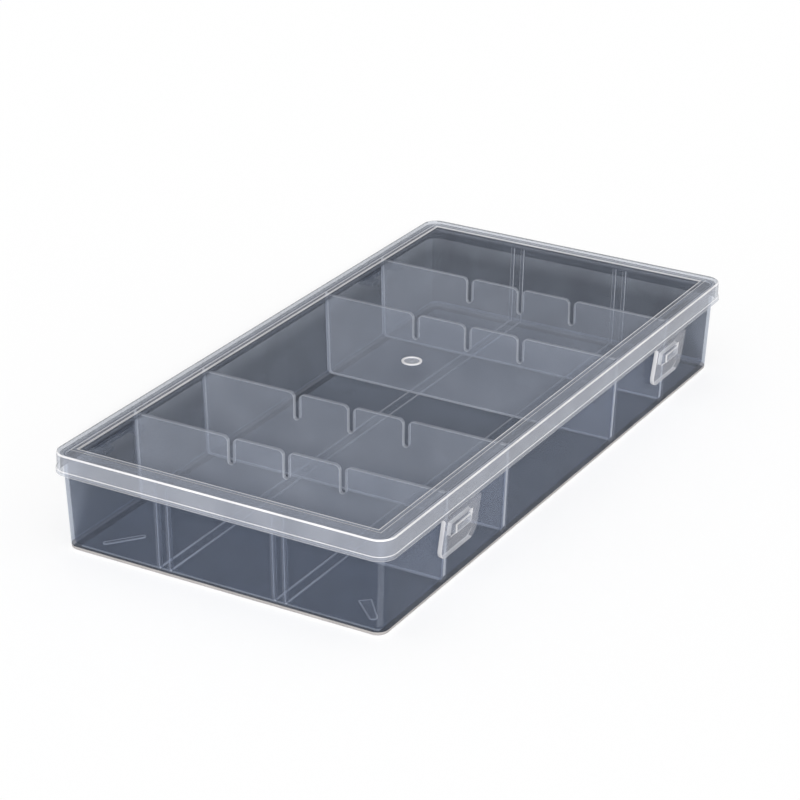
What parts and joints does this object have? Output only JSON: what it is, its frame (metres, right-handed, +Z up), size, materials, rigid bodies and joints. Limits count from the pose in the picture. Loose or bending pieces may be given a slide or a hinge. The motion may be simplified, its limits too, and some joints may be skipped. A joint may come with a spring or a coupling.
{
  "type": "hinged compartment box",
  "caption": "Shallow clear plastic box with a hinged lid, hanging snap clasps and notched cross partitions that divide the tray into open compartments for small items.",
  "frame": {"origin": "centre of the tray's resting face", "axes": "+X along the length of the box, -Y towards the clasps, +Y towards the hinges, +Z up"},
  "size_m": [0.3608, 0.1869, 0.05],
  "materials": {
    "tray_plastic": "gloss, milky clear",
    "lid_plastic": "gloss, milky clear",
    "partition_plastic": "gloss, milky clear",
    "pin_plastic": "gloss, milky clear"
  },
  "bodies": {
    "tray": {"tray": "tray_plastic", "cross_partition_1": "partition_plastic", "cross_partition_2": "partition_plastic", "cross_partition_3": "partition_plastic", "cross_partition_4": "partition_plastic", "hinge_pin_left": "pin_plastic", "hinge_pin_right": "pin_plastic"},
    "lid": {"lid": "lid_plastic"},
    "clasp_left": {"clasp_left": "lid_plastic"},
    "clasp_right": {"clasp_right": "lid_plastic"}
  },
  "joints": [
    {"name": "lid_hinge", "type": "hinge", "parent": "tray", "child": "lid", "pos_m": [0, 0.0928, 0.036], "axis": [-1, 0, 0], "range_deg": [0, 180]},
    {"name": "clasp_left_hinge", "type": "hinge", "parent": "lid", "child": "clasp_left", "pos_m": [-0.1126, -0.08965, 0.038], "axis": [-1, 0, 0], "range_deg": [0, 100]},
    {"name": "clasp_right_hinge", "type": "hinge", "parent": "lid", "child": "clasp_right", "pos_m": [0.1126, -0.08965, 0.038], "axis": [-1, 0, 0], "range_deg": [0, 100]}
  ]
}
